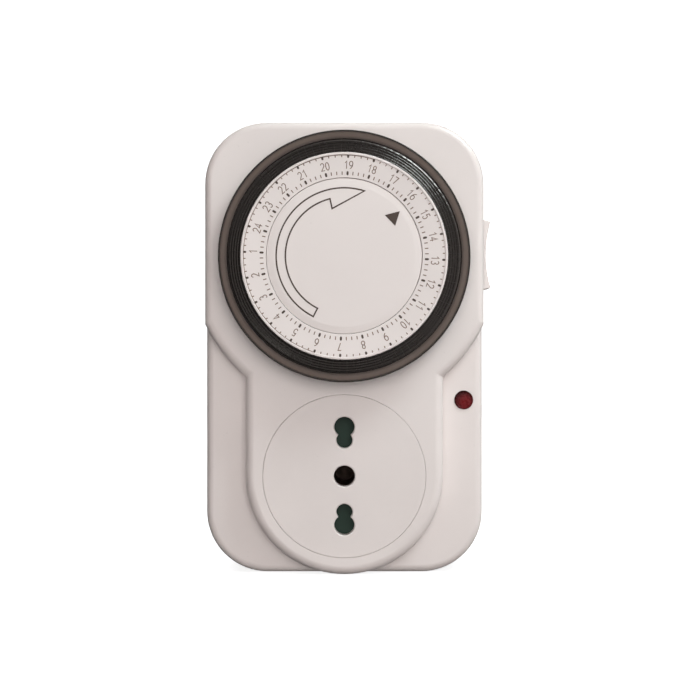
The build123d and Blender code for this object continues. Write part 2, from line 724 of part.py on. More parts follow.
def moving_contact():
    """The strip on the lever's back, with its contact rivet."""
    left = LEVER_LEFT + STRIP_INSET
    right = LEVER_RIGHT - STRIP_INSET
    back = LEVER_BACK - STRIP_THICKNESS
    strip = block(left, right, STRIP_LOW, LEVER_TOP, back, LEVER_BACK)
    return strip + disc(RIVET_RADIUS, back - RIVET_HEIGHT, back, LEVER_MIDDLE, RIVET_Z)


def live_strip():
    """The bent brass strip from the live pin up to the switch's fixed contact."""
    left = LEVER_MIDDLE - BUS_HALF
    right = LEVER_MIDDLE + BUS_HALF
    foot_low = LARGE_PITCH - BUS_HALF
    foot_high = LARGE_PITCH + BUS_HALF
    strip = block(-BUS_HALF, right, foot_low, foot_high, BUS_BACK, BUS_FRONT)
    strip += block(left, right, LARGE_PITCH, SHELF_TOP, BUS_BACK, BUS_FRONT)
    strip += block(left, right, SHELF_TOP - BUS_THICKNESS, SHELF_TOP, BUS_FRONT, SHELF_FRONT)
    strip += block(left, right, RIVET_Z - BUS_HALF, SHELF_TOP, SHELF_BACK, SHELF_FRONT)
    return strip + disc(RIVET_RADIUS, SHELF_FRONT, CONTACT_FRONT, LEVER_MIDDLE, RIVET_Z)


def switched_strip():
    """The brass strip from the switched pole's contact to the switch."""
    left = LEVER_MIDDLE - BUS_HALF
    right = LEVER_MIDDLE + BUS_HALF
    low = LARGE_PITCH - SWITCHED_HALF
    high = LARGE_PITCH + SWITCHED_HALF
    strip = block(-BUS_HALF, right, low, high, SWITCHED_BACK, BLOCK_BACK)
    strip += block(left, right, low, SWITCHED_TOP, SWITCHED_BACK, BLOCK_BACK)
    upturn_low = SWITCHED_TOP - BUS_THICKNESS
    return strip + block(left, right, upturn_low, SWITCHED_TOP, BLOCK_BACK, PLATE_BACK)


# ---- override rocker ---------------------------------------------------------------------------

ROCKER_TRUNNION = 1.0
TRUNNION_REACH = 1.4
ROCKER_PROUD = 2.3
ROCKER_WAIST = 1.0
ROCKER_FACE_HALF = 8.95  # half height of the hollowed face; the ends slope out to ROCKER_HALF
ROCKER_FOOT_INSET = 0.4
ROCKER_BODY_HALF = 8.9
ROCKER_BODY_X = 34.5
ROCKER_HUB_HALF = 4.0
ROCKER_HUB_NOSE = 2.0
ROCKER_HUB_X = 32.0
CHEEK = 1.2
FRAME_LEFT = 31.6
FRAME_HALF = 12.5


def rocker():
    """The manual override rocker on the side, with a hollowed face and sloping ends."""
    end_x = half_width + ROCKER_PROUD
    waist = (half_width + ROCKER_WAIST, 0)
    upper = [
        (ROCKER_HUB_X, ROCKER_HUB_NOSE),
        (ROCKER_BODY_X, ROCKER_HUB_HALF),
        (ROCKER_BODY_X, ROCKER_BODY_HALF),
        (half_width - ROCKER_FOOT_INSET, ROCKER_HALF),
        (end_x, ROCKER_FACE_HALF),
    ]
    lower = [(x, -z) for x, z in reversed(upper)]
    face = ThreePointArc(upper[-1], waist, lower[0])
    outline = make_face(Curve() + [face, Polyline(*lower, *upper)])
    body = slab(Pos(0, ROCKER_HEIGHT) * outline, ROCKER_BACK, ROCKER_FRONT)
    pin_back = ROCKER_BACK - TRUNNION_REACH
    pin_front = ROCKER_FRONT + TRUNNION_REACH
    return body + disc(ROCKER_TRUNNION, pin_back, pin_front, ROCKER_PIVOT_X, ROCKER_HEIGHT)


def rocker_frame():
    """The frame inside the side wall whose cheeks hold the rocker's trunnions."""
    right = half_width - WALL
    back = ROCKER_BACK - WINDOW_MARGIN
    front = ROCKER_FRONT + WINDOW_MARGIN
    half_opening = ROCKER_HALF + WINDOW_MARGIN
    low = ROCKER_HEIGHT - FRAME_HALF
    high = ROCKER_HEIGHT + FRAME_HALF
    opening_low = ROCKER_HEIGHT - half_opening
    opening_high = ROCKER_HEIGHT + half_opening
    frame = block(FRAME_LEFT, right, low, high, back - CHEEK, front + CHEEK)
    frame -= block(FRAME_LEFT, right, opening_low, opening_high, back, front)
    bore = ROCKER_TRUNNION + RUNNING
    return frame - disc(bore, back - CHEEK, front + CHEEK, ROCKER_PIVOT_X, ROCKER_HEIGHT)


# ---- pilot lamp and leads ----------------------------------------------------------------------

LENS_PROUD = 0.4
LENS_ROUNDING = 0.3
LENS_FLANGE = 2.75
LENS_FLANGE_THICKNESS = 1.2
LAMP_RADIUS = 2.0
LAMP_ROUNDING = 1.6
LAMP_BACK = 15.0
LAMP_FRONT = inner_wing - 1.8
RESISTOR_RADIUS = 1.2
RESISTOR_DEPTH = 11.0
RESISTOR_LOW = 4.0
RESISTOR_HIGH = 11.0
LEAD_RADIUS = 0.35
LEAD_SPREAD = 0.8  # the lamp's leads, either side of its axis
LEAD_DEPTH = 13.0
LEAD_JOG = 4.0  # above the resistor, where the lamp's lead comes over to it
LEAD_DROP = 14.0  # below the resistor, where its lead turns to the neutral stem
WIRE_RADIUS = 0.7
WIRE_DEPTH = 9.0
WIRE_OVERLAP = 0.4  # how far a wire runs into the motor can
NEUTRAL_WIRE_X = -9.0
NEUTRAL_WIRE_HIGH = 22.0
NEUTRAL_WIRE_LOW = -7.0
LIVE_WIRE_X = 12.0
LIVE_WIRE_BEND = (9.0, 30.0)


def lamp_lens():
    """The red lens in the right wing, with a flange behind the wall."""
    front = WING_DEPTH + LENS_PROUD
    lens = disc(LENS_RADIUS, inner_wing, front, LENS_X, LENS_Z)
    lens = fillet(edges_at(lens, front), LENS_ROUNDING)
    return lens + disc(LENS_FLANGE, inner_wing - LENS_FLANGE_THICKNESS, inner_wing, LENS_X, LENS_Z)


def neon_lamp():
    lamp = disc(LAMP_RADIUS, LAMP_BACK, LAMP_FRONT, LENS_X, LENS_Z)
    return fillet(edges_at(lamp, LAMP_FRONT), LAMP_ROUNDING)


def lamp_resistor():
    upright = Plane(origin=(LENS_X, -RESISTOR_DEPTH, RESISTOR_LOW), z_dir=(0, 0, 1))
    return extrude(upright * Circle(RESISTOR_RADIUS), amount=RESISTOR_HIGH - RESISTOR_LOW)


def lamp_leads():
    """Bare leads: lamp to resistor, resistor to the neutral stem, lamp to the switched strip."""
    right = LENS_X + LEAD_SPREAD
    left = LENS_X - LEAD_SPREAD
    to_resistor = [
        (right, -LAMP_BACK, LENS_Z),
        (right, -RESISTOR_DEPTH, LENS_Z),
        (right, -RESISTOR_DEPTH, RESISTOR_HIGH + LEAD_JOG),
        (LENS_X, -RESISTOR_DEPTH, RESISTOR_HIGH),
    ]
    to_neutral = [
        (LENS_X, -RESISTOR_DEPTH, RESISTOR_LOW),
        (LENS_X, -RESISTOR_DEPTH, RESISTOR_LOW - LEAD_DROP),
        (STEM_RADIUS, -RESISTOR_DEPTH, -LARGE_PITCH),
    ]
    to_switched = [
        (left, -LAMP_BACK, LENS_Z),
        (left, -LEAD_DEPTH, LENS_Z),
        (LEVER_MIDDLE, -LEAD_DEPTH, LENS_Z),
        (LEVER_MIDDLE, -SWITCHED_BACK, LENS_Z),
    ]
    return Compound(
        children=[
            wire_lead(to_resistor, LEAD_RADIUS, bend=1.0),
            wire_lead(to_neutral, LEAD_RADIUS, bend=2.0),
            wire_lead(to_switched, LEAD_RADIUS, bend=0.9),
        ]
    )


def motor_leads():
    """Two insulated wires from the motor to the live strip and to the neutral stem."""
    can_bottom = DIAL_HEIGHT - CAN_RADIUS
    bend_x, bend_z = LIVE_WIRE_BEND
    to_neutral = [
        (CAN_X, -WIRE_DEPTH, can_bottom),
        (NEUTRAL_WIRE_X, -WIRE_DEPTH, NEUTRAL_WIRE_HIGH),
        (NEUTRAL_WIRE_X, -WIRE_DEPTH, NEUTRAL_WIRE_LOW),
        (-STEM_RADIUS, -WIRE_DEPTH, -LARGE_PITCH),
    ]
    to_live = [
        (0, -WIRE_DEPTH, can_bottom + WIRE_OVERLAP),
        (bend_x, -WIRE_DEPTH, bend_z),
        (LIVE_WIRE_X, -WIRE_DEPTH, LARGE_PITCH),
        (LIVE_WIRE_X, -BUS_FRONT, LARGE_PITCH),
    ]
    return Compound(
        children=[
            wire_lead(to_neutral, WIRE_RADIUS, bend=6.0),
            wire_lead(to_live, WIRE_RADIUS, bend=3.0),
        ]
    )


# ---- the assembly ------------------------------------------------------------------------------

nodes = {
    "rear_housing": rear_housing(),
    "front_housing": front_housing(),
    "housing_screws": housing_screws(),
    "live_pin": plug_pin(LARGE_PITCH, sleeved=True),
    "neutral_pin": plug_pin(-LARGE_PITCH, sleeved=True),
    "earth_pin": plug_pin(0, sleeved=False),
    "pin_sleeves": pin_sleeves(),
    "outlet_disc": outlet_disc(),
    "shutter": shutter(),
    "contact_block": contact_block(),
    "live_contact": live_contact(),
    "neutral_contact": neutral_contact(),
    "earth_contact": earth_contact(),
    "mechanism_plate": mechanism_plate(),
    "motor_can": motor_can(),
    "motor_cover": motor_cover(),
    "motor_screws": motor_screws(),
    "motor_pinion": motor_pinion(),
    "idler_axle": idler_axle(),
    "idler_gear": idler_gear(),
    "dial_gear": dial_gear(),
    "dial_drum": dial_drum(),
    "number_ring": number_ring(),
    "dial_rim": dial_rim(),
    "centre_post": centre_post(),
    "dial_washer": dial_washer(),
    "centre_cap": centre_cap(),
    "switch_lever": switch_lever(),
    "lever_pin": lever_pin(),
    "moving_contact": moving_contact(),
    "live_strip": live_strip(),
    "switched_strip": switched_strip(),
    "rocker": rocker(),
    "rocker_frame": rocker_frame(),
    "lamp_lens": lamp_lens(),
    "neon_lamp": neon_lamp(),
    "lamp_resistor": lamp_resistor(),
    "lamp_leads": lamp_leads(),
    "motor_leads": motor_leads(),
}
for hour in range(0, HOURS, SET_HOURS):
    nodes[f"segments_{hour:02d}"] = segments(hour)

os.makedirs("parts", exist_ok=True)
for name, shape in nodes.items():
    export_step(shape, f"parts/{name}.step")
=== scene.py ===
import math

import bmesh
import bpy
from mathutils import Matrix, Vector


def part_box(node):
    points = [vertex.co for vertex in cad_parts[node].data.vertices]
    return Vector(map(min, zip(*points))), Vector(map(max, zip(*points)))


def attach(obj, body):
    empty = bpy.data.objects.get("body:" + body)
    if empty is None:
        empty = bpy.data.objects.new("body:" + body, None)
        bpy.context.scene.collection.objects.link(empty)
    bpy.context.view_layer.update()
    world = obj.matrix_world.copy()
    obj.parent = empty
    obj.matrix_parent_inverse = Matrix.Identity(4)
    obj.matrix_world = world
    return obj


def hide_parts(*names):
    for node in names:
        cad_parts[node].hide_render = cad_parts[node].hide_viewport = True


# The looks of a plug-in mechanical timer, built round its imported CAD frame. Metres, +Z up, and the
# front faces -Y. A "depth" is a distance forward from the back face, towards -Y. Angles round the
# dial are in degrees, anticlockwise from +X as seen from the front.

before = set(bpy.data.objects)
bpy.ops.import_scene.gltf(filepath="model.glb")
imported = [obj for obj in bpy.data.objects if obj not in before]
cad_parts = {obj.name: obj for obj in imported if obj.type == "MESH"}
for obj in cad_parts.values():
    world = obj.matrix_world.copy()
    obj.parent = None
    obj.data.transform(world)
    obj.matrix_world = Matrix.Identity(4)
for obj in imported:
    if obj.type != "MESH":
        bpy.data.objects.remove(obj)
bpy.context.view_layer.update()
scene = bpy.context.scene

MM = 0.001
HOURS = 24
QUARTERS = 4
HOUR_ANGLE = 360 / HOURS
QUARTER_ANGLE = HOUR_ANGLE / QUARTERS
FIRST_HOUR = 162.7  # where zero o'clock stands
SET_NAMES = sorted(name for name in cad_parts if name.startswith("segments_"))


def corners(node):
    """A node's left, right, low and high sides, and its back and front depths."""
    low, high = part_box(node)
    return low.x, high.x, low.z, high.z, -high.y, -low.y


def dial_centre():
    left, right, low, high, _, _ = corners("dial_rim")
    return (left + right) / 2, (low + high) / 2


DIAL_X, DIAL_Z = dial_centre()


# ---- mesh helpers ------------------------------------------------------------------------------


def mesh_object(name, vertices, faces, smooth_angle=None):
    """A new mesh piece, with edges sharper than the angle left sharp."""
    mesh = bpy.data.meshes.new(name)
    mesh.from_pydata(vertices, [], faces)
    mesh.validate()
    work = bmesh.new()
    work.from_mesh(mesh)
    bmesh.ops.remove_doubles(work, verts=work.verts, dist=1e-7)
    bmesh.ops.recalc_face_normals(work, faces=work.faces)
    if smooth_angle is not None:
        for face in work.faces:
            face.smooth = True
        for edge in work.edges:
            shared = len(edge.link_faces) == 2
            edge.smooth = shared and edge.calc_face_angle(0) < math.radians(smooth_angle)
    work.to_mesh(mesh)
    work.free()
    piece = bpy.data.objects.new(name, mesh)
    scene.collection.objects.link(piece)
    return piece


def around_dial(radius, degrees, depth):
    angle = math.radians(degrees)
    return (DIAL_X + radius * math.cos(angle), -depth, DIAL_Z + radius * math.sin(angle))


def arc_points(centre, radii, start, end, steps):
    """Points along an elliptical arc, in a drawing's own plane."""
    angles = [math.radians(start + (end - start) * i / steps) for i in range(steps + 1)]
    return [(centre[0] + radii[0] * math.cos(a), centre[1] + radii[1] * math.sin(a)) for a in angles]


def rounded_profile(corners_with_radii, steps=5):
    """A closed profile of (across, along) corners, each rounded by its own radius."""
    points = []
    count = len(corners_with_radii)
    for i, (x, y, radius) in enumerate(corners_with_radii):
        here = Vector((x, y))
        before = Vector(corners_with_radii[i - 1][:2]) - here
        after = Vector(corners_with_radii[(i + 1) % count][:2]) - here
        if radius <= 0:
            points.append((x, y))
            continue
        half = before.angle(after) / 2
        reach = min(radius / math.tan(half), before.length / 2, after.length / 2)
        start = here + before.normalized() * reach
        end = here + after.normalized() * reach
        for step in range(steps + 1):
            t = step / steps
            curve = start * (1 - t) ** 2 + here * 2 * t * (1 - t) + end * t**2
            points.append((curve.x, curve.y))
    return points


def lathe(name, profile, centre, steps=288, smooth_angle=35):
    """A solid of revolution about a depth-wise axis, from closed (radius, depth) points."""
    x, z = centre
    vertices = []
    faces = []
    count = len(profile)
    for step in range(steps):
        angle = 2 * math.pi * step / steps
        for radius, depth in profile:
            vertices.append((x + radius * math.cos(angle), -depth, z + radius * math.sin(angle)))
    for step in range(steps):
        here = step * count
        there = (step + 1) % steps * count
        for i in range(count):
            j = (i + 1) % count
            faces.append((here + i, here + j, there + j, there + i))
    return mesh_object(name, vertices, faces, smooth_angle)


def solid_from_outline(outline, back, front, place):
    """Vertices and faces of a flat solid; place turns an outline point and a depth into a position."""
    count = len(outline)
    vertices = [place(x, y, back) for x, y in outline] + [place(x, y, front) for x, y in outline]
    faces = [tuple(range(count)), tuple(range(count, 2 * count))]
    faces += [(i, (i + 1) % count, count + (i + 1) % count, count + i) for i in range(count)]
    return vertices, faces


def ribbon(points, width, closed=False):
    """Left and right sides of a stroke of constant width along a polyline."""
    count = len(points)
    left = []
    right = []
    for i, point in enumerate(points):
        here = Vector(point)
        before = Vector(points[i - 1]) if i > 0 or closed else None
        after = Vector(points[(i + 1) % count]) if i < count - 1 or closed else None
        ahead = (after - here).normalized() if after is not None else (here - before).normalized()
        behind = (here - before).normalized() if before is not None else ahead
        normal_a = Vector((-behind.y, behind.x))
        normal_b = Vector((-ahead.y, ahead.x))
        mitre = (normal_a + normal_b).normalized()
        reach = width / 2 / max(mitre.dot(normal_a), 0.5)
        left.append(here + mitre * reach)
        right.append(here - mitre * reach)
    return left, right


class Ink:
    """Gathers flat printed shapes into one thin mesh that stands a little proud of its face."""

    def __init__(self, name, back, thickness):
        self.name = name
        self.back = back
        self.front = back + thickness
        self.vertices = []
        self.faces = []

    def add(self, vertices, faces):
        first = len(self.vertices)
        self.vertices += vertices
        self.faces += [tuple(first + i for i in face) for face in faces]

    def fill(self, outline, place):
        self.add(*solid_from_outline(outline, self.back, self.front, place))

    def stroke(self, points, width, place, closed=False):
        left, right = ribbon(points, width, closed)
        count = len(points)
        up = 2 * count
        spans = count if closed else count - 1
        sides = [place(p.x, p.y, depth) for depth in (self.back, self.front) for p in [*left, *right]]
        faces = []
        for i in range(spans):
            j = (i + 1) % count
            a, b, c, d = i, j, count + j, count + i
            faces += [(a, b, c, d), (a + up, b + up, c + up, d + up)]
            faces += [(a, b, b + up, a + up), (d, c, c + up, d + up)]
        if not closed:
            last = count - 1
            faces.append((0, count, count + up, up))
            faces.append((last, count + last, count + last + up, last + up))
        self.add(sides, faces)

    def finish(self, material, body):
        piece = mesh_object(self.name, self.vertices, self.faces)
        piece.data.materials.append(material)
        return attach(piece, body)


# ---- node helpers ------------------------------------------------------------------------------

# Noise scales, in waves to the metre.
CLOUDS = 45
WAVES = 70
PATCHES = 160
SPECKS = 900
GRAIN = 3800

NOISE_LOW = 0.3  # nearly all of a noise texture lies between these
NOISE_HIGH = 0.7


class Paint:
    """A material being wired: a Principled shader and short ways to feed it."""

    def __init__(self, name, **values):
        self.material = bpy.data.materials.new(name)
        self.material.use_nodes = True
        self.nodes = self.material.node_tree.nodes
        self.links = self.material.node_tree.links
        self.shader = self.nodes["Principled BSDF"]
        self.coordinates = self.nodes.new("ShaderNodeTexCoord").outputs["Object"]
        self.bump_input = None
        for socket, value in values.items():
            self.set(socket.replace("_", " "), value)

    def set(self, socket, value):
        self.shader.inputs[socket].default_value = value

    def link(self, output, socket):
        self.links.new(output, self.shader.inputs[socket])

    def scaled(self, scale):
        mapping = self.nodes.new("ShaderNodeMapping")
        mapping.inputs["Scale"].default_value = scale
        self.links.new(self.coordinates, mapping.inputs["Vector"])
        return mapping.outputs["Vector"]

    def noise(self, scale, detail=3.0, roughness=0.5, vector=None, distortion=0.0):
        node = self.nodes.new("ShaderNodeTexNoise")
        node.inputs["Scale"].default_value = scale
        node.inputs["Detail"].default_value = detail
        node.inputs["Roughness"].default_value = roughness
        node.inputs["Distortion"].default_value = distortion
        self.links.new(vector or self.coordinates, node.inputs["Vector"])
        return node.outputs["Fac"]

    def remap(self, value, low, high, to_low, to_high):
        node = self.nodes.new("ShaderNodeMapRange")
        limits = {"From Min": low, "From Max": high, "To Min": to_low, "To Max": to_high}
        for socket, number in limits.items():
            node.inputs[socket].default_value = number
        self.links.new(value, node.inputs["Value"])
        return node.outputs["Result"]

    def spread(self, noise, low, high):
        """A noise stretched to run from low to high."""
        return self.remap(noise, NOISE_LOW, NOISE_HIGH, low, high)

    def combine(self, first, second, how="ADD"):
        node = self.nodes.new("ShaderNodeMath")
        node.operation = how
        for i, value in enumerate((first, second)):
            if isinstance(value, (int, float)):
                node.inputs[i].default_value = value
            else:
                self.links.new(value, node.inputs[i])
        return node.outputs["Value"]

    def mix(self, factor, first, second):
        node = self.nodes.new("ShaderNodeMix")
        node.data_type = "RGBA"
        self.links.new(factor, node.inputs["Factor"])
        for socket, colour in ((node.inputs["A"], first), (node.inputs["B"], second)):
            if isinstance(colour, (tuple, list)):
                socket.default_value = (*colour[:3], 1)
            else:
                self.links.new(colour, socket)
        return node.outputs["Result"]

    def bump(self, height, distance, strength=1.0):
        node = self.nodes.new("ShaderNodeBump")
        node.inputs["Distance"].default_value = distance
        node.inputs["Strength"].default_value = strength
        self.links.new(height, node.inputs["Height"])
        if self.bump_input is not None:
            self.links.new(self.bump_input, node.inputs["Normal"])
        self.bump_input = node.outputs["Normal"]
        self.link(self.bump_input, "Normal")


def shaded(colour, factor):
    return tuple(min(channel * factor, 1) for channel in colour)


def moulded(
    name,
    colour,
    roughness,
    mottle=0.03,
    grain=0.012 * MM,
    waviness=0.02 * MM,
    scuffs=0.08,
    **values,
):
    """Moulded plastic: mottled colour, fine grain, faint moulding waves and light handling scuffs."""
    paint = Paint(name, **values)
    cloud = paint.spread(paint.noise(CLOUDS, detail=4), 0, 1)
    colours = paint.mix(cloud, shaded(colour, 1 - mottle), shaded(colour, 1 + mottle))
    stretched = paint.scaled((420, 420, 38))
    scratch = paint.noise(1, detail=5, roughness=0.65, vector=stretched, distortion=0.6)
    rubbed = paint.remap(scratch, 0.5, 0.8, 0, 1)
    specks = paint.remap(paint.noise(SPECKS, detail=1), 0.76, 0.82, 0, 0.2)
    dusty = paint.mix(specks, colours, shaded(colour, 0.75))
    paint.link(dusty, "Base Color")
    base = paint.spread(paint.noise(PATCHES, detail=3), roughness - 0.05, roughness + 0.05)
    paint.link(paint.combine(base, paint.combine(rubbed, scuffs, "MULTIPLY")), "Roughness")
    paint.bump(paint.noise(WAVES, detail=1), waviness)
    paint.bump(paint.noise(GRAIN, detail=2, roughness=0.6), grain)
    return paint.material


def metal(name, colour, roughness, brushed=(0, 0, 0), tarnish=0.25, **values):
    """Bare or plated metal with brushing, tarnish clouds and fine pitting."""
    paint = Paint(name, Metallic=1.0, **values)
    cloud = paint.remap(paint.noise(110, detail=5), 0.4, 0.75, 0, tarnish)
    paint.link(paint.mix(cloud, colour, shaded(colour, 0.55)), "Base Color")
    if any(brushed):
        lines = paint.noise(1, detail=4, vector=paint.scaled(brushed))
    else:
        lines = paint.noise(SPECKS)
    paint.link(paint.spread(lines, roughness * 0.7, roughness * 1.4), "Roughness")
    paint.bump(lines, 0.006 * MM)
    paint.bump(paint.noise(2600, detail=2), 0.004 * MM)
    return paint.material


# ---- materials ---------------------------------------------------------------------------------

WHITE = (0.768, 0.697, 0.676)
INK = (0.075, 0.047, 0.036)

shell_white = moulded("shell_white", WHITE, 0.33, Coat_Weight=0.12, Coat_Roughness=0.22)
outlet_white = moulded("outlet_white", shaded(WHITE, 0.985), 0.36)
cap_white = moulded(
    "cap_white",
    WHITE,
    0.34,
    mottle=0.012,
    scuffs=0.02,
    Coat_Weight=0.1,
    Coat_Roughness=0.25,
)
ring_white = moulded(
    "ring_white",
    WHITE,
    0.38,
    grain=0.008 * MM,
    Coat_Weight=0.4,
    Coat_Roughness=0.15,
)
rocker_white = moulded("rocker_white", WHITE, 0.30, Coat_Weight=0.15, Coat_Roughness=0.2)
INK_GRAIN = 0.004 * MM
ink_brown = moulded("ink_brown", INK, 0.45, mottle=0.12, grain=INK_GRAIN, waviness=INK_GRAIN)
ink_faint = moulded(
    "ink_faint",
    shaded(INK, 2.9),
    0.45,
    mottle=0.15,
    grain=INK_GRAIN,
    waviness=INK_GRAIN,
)
segment_black = moulded(
    "segment_black",
    (0.0058, 0.0050, 0.0042),
    0.28,
    mottle=0.2,
    scuffs=0.06,
    grain=0.0006 * MM,
    waviness=0.001 * MM,
    IOR=1.65,
    Specular_IOR_Level=1.0,
    Specular_Tint=(1.0, 0.90, 0.86, 1),
)
drum_black = moulded("drum_black", (0.012, 0.011, 0.011), 0.42, mottle=0.2)
sleeve_black = moulded("sleeve_black", (0.026, 0.026, 0.027), 0.5, mottle=0.15)
shutter_green = moulded(
    "shutter_green",
    (0.018, 0.044, 0.031),
    0.42,
    mottle=0.2,
    Specular_IOR_Level=0.35,
)
block_grey = moulded("block_grey", (0.10, 0.10, 0.097), 0.5, mottle=0.1)
gear_natural = moulded("gear_natural", (0.74, 0.71, 0.62), 0.45, mottle=0.04)
wire_blue = moulded("wire_blue", (0.02, 0.05, 0.28), 0.4, mottle=0.1)
resistor_tan = moulded("resistor_tan", (0.52, 0.36, 0.2), 0.4, mottle=0.15)
nickel = metal("nickel", (0.70, 0.68, 0.64), 0.16, brushed=(900, 60, 900), tarnish=0.12)
brass = metal("brass", (0.72, 0.53, 0.24), 0.25, tarnish=0.3)
# Painted shade: the contacts' bronze is made dark to stand in for the shade deep in the socket holes;
# its tarnish clouds come on top.
bronze_darkened_for_shade = metal("bronze_darkened_for_shade", (0.17, 0.125, 0.105), 0.45, tarnish=0.5)
zinc = metal("zinc", (0.58, 0.58, 0.57), 0.35, brushed=(900, 900, 60), tarnish=0.3)
tin = metal("tin", (0.6, 0.6, 0.6), 0.3)


def distance_from_axis(paint, x, z):
    """The distance of the shaded point from a depth-wise axis."""
    centred = paint.nodes.new("ShaderNodeVectorMath")
    centred.operation = "SUBTRACT"
    centred.inputs[1].default_value = (x, 0, z)
    flat = paint.nodes.new("ShaderNodeVectorMath")
    flat.operation = "MULTIPLY"
    flat.inputs[1].default_value = (1, 0, 1)
    length = paint.nodes.new("ShaderNodeVectorMath")
    length.operation = "LENGTH"
    paint.links.new(paint.coordinates, centred.inputs[0])
    paint.links.new(centred.outputs["Vector"], flat.inputs[0])
    paint.links.new(flat.outputs["Vector"], length.inputs[0])
    return length.outputs["Value"]


def smoked_plastic():
    """Smoked plastic with painted shade: darker towards its inner wall and near black in a line round
    its outer edge.
    """
    paint = Paint(
        "smoked_plastic",
        Transmission_Weight=0.3,
        IOR=1.49,
        Coat_Weight=0.15,
        Coat_Roughness=0.1,
    )
    radius = distance_from_axis(paint, DIAL_X, DIAL_Z)
    # Painted shade: the colour darkens towards the ring's inner wall and runs to a dark line at its
    # outer edge.
    inner_wall_shade = paint.remap(radius, 30.6 * MM, 31.3 * MM, 0.35, 1)
    outer_edge_shade = paint.remap(radius, 32.0 * MM, 32.45 * MM, 1, 0.1)
    painted_wall_shade = paint.combine(inner_wall_shade, outer_edge_shade, "MULTIPLY")
    cloud = paint.spread(paint.noise(60, detail=3), 0, 1)
    tint = paint.mix(cloud, (0.158, 0.112, 0.092), (0.186, 0.137, 0.115))
    paint.link(paint.mix(painted_wall_shade, (0.020, 0.014, 0.012), tint), "Base Color")
    scratch = paint.noise(1, detail=5, vector=paint.scaled((500, 60, 500)), distortion=0.5)
    paint.link(paint.remap(scratch, 0.4, 0.8, 0.12, 0.22), "Roughness")
    paint.bump(paint.noise(60, detail=1), 0.004 * MM)
    return paint.material


def lens_red():
    """Red lens with painted light and shade: brighter in a spot a little right of and below its
    middle, and dark at its edge.
    """
    left, right, low, high, _, _ = corners("lamp_lens")
    paint = Paint("lens_red", Transmission_Weight=0.15, IOR=1.45, Specular_IOR_Level=0.12)
    # The painted bright spot is centred 0.4 mm right of and 0.5 mm below the lens's middle.
    radius = distance_from_axis(paint, (left + right) / 2 + 0.4 * MM, (low + high) / 2 - 0.5 * MM)
    cloud = paint.spread(paint.noise(500, detail=3), 0, 1)
    middle = paint.mix(cloud, (0.155, 0.006, 0.008), (0.215, 0.011, 0.014))
    painted_edge_shade = paint.remap(radius, 1.2 * MM, 2.9 * MM, 0, 1)
    # Painted shade darkens the lens towards its edge.
    paint.link(paint.mix(painted_edge_shade, middle, (0.030, 0.004, 0.004)), "Base Color")
    paint.link(paint.spread(paint.noise(1500), 0.22, 0.34), "Roughness")
    paint.bump(paint.noise(SPECKS, detail=2), 0.01 * MM)
    return paint.material


def lamp_glass():
    paint = Paint("lamp_glass", Transmission_Weight=1.0, IOR=1.5)
    paint.link(paint.spread(paint.noise(700), 0.0, 0.06), "Roughness")
    paint.link(paint.mix(paint.noise(300), (0.95, 0.92, 0.88), (0.86, 0.8, 0.74)), "Base Color")
    return paint.material


smoked = smoked_plastic()
red = lens_red()
glass = lamp_glass()

FINISHES = {
    shell_white: ["rear_housing", "front_housing"],
    outlet_white: ["outlet_disc"],
    cap_white: ["centre_cap"],
    ring_white: ["number_ring"],
    rocker_white: ["rocker"],
    drum_black: ["dial_drum"],
    segment_black: SET_NAMES,
    smoked: ["dial_rim"],
    gear_natural: ["dial_gear", "idler_gear", "motor_pinion", "switch_lever"],
    nickel: ["live_pin", "neutral_pin", "earth_pin"],
    sleeve_black: ["pin_sleeves"],
    shutter_green: ["shutter"],
    block_grey: ["contact_block", "rocker_frame"],
    bronze_darkened_for_shade: ["live_contact", "neutral_contact", "earth_contact"],
    brass: ["live_strip", "switched_strip", "moving_contact"],
    zinc: [
        "mechanism_plate",
        "motor_can",
        "motor_cover",
        "motor_screws",
        "idler_axle",
        "centre_post",
        "dial_washer",
        "lever_pin",
        "housing_screws",
    ],
    red: ["lamp_lens"],
    glass: ["neon_lamp"],
    resistor_tan: ["lamp_resistor"],
    tin: ["lamp_leads"],
    wire_blue: ["motor_leads"],
}


def finish_cad_nodes():
    for material, names in FINISHES.items():
        for name in names:
            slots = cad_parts[name].data.materials
            slots.clear()
            slots.append(material)


finish_cad_nodes()


# ---- dial: number ring, cap, rim and segments --------------------------------------------------

LIP_WIDTH = 0.62 * MM
LIP_SLOPE = 0.1 * MM
LIP_HEIGHT = 0.22 * MM
RING_CLEARANCE = 0.1 * MM

CAP_EDGE_DROP = 0.18 * MM
CAP_EDGE_WIDTH = 1.8 * MM
CAP_HUB = 0.4 * MM

RIM_WALL = 2.35 * MM


def number_ring():
    """The number ring again, with a low lip round it and its edges rounded."""
    _, right, _, _, back, front = corners("number_ring")
    outer = right - DIAL_X
    inner = corners("centre_cap")[1] - DIAL_X + RING_CLEARANCE
    face = front - LIP_HEIGHT
    lip = outer - LIP_WIDTH
    profile = rounded_profile(
        [
            (inner, back, 0),
            (outer, back, 0),
            (outer, front, 0.25 * MM),
            (lip, front, 0.10 * MM),
            (lip - LIP_SLOPE, face, 0.05 * MM),
            (inner, face, 0.12 * MM),
        ]
    )
    piece = lathe("number_ring_moulded", profile, (DIAL_X, DIAL_Z))
    piece.data.materials.append(ring_white)
    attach(piece, "dial")
    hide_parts("number_ring")
    return face


def centre_cap():
    """The fixed cap again, with a soft slope round its edge."""
    _, right, _, _, back, front = corners("centre_cap")
    outer = right - DIAL_X
    profile = rounded_profile(
        [
            (CAP_HUB, back, 0),
            (outer, back, 0),
            (outer, front - CAP_EDGE_DROP, 0.15 * MM),
            (outer - CAP_EDGE_WIDTH, front, 2.4 * MM),
            (CAP_HUB, front, 0),
        ],
        steps=8,
    )
    closed = profile[:-1] + [(0, front), (0, back)]
    piece = lathe("centre_cap_moulded", closed, (DIAL_X, DIAL_Z))
    piece.data.materials.append(cap_white)
    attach(piece, "housing")
    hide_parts("centre_cap")
    return front


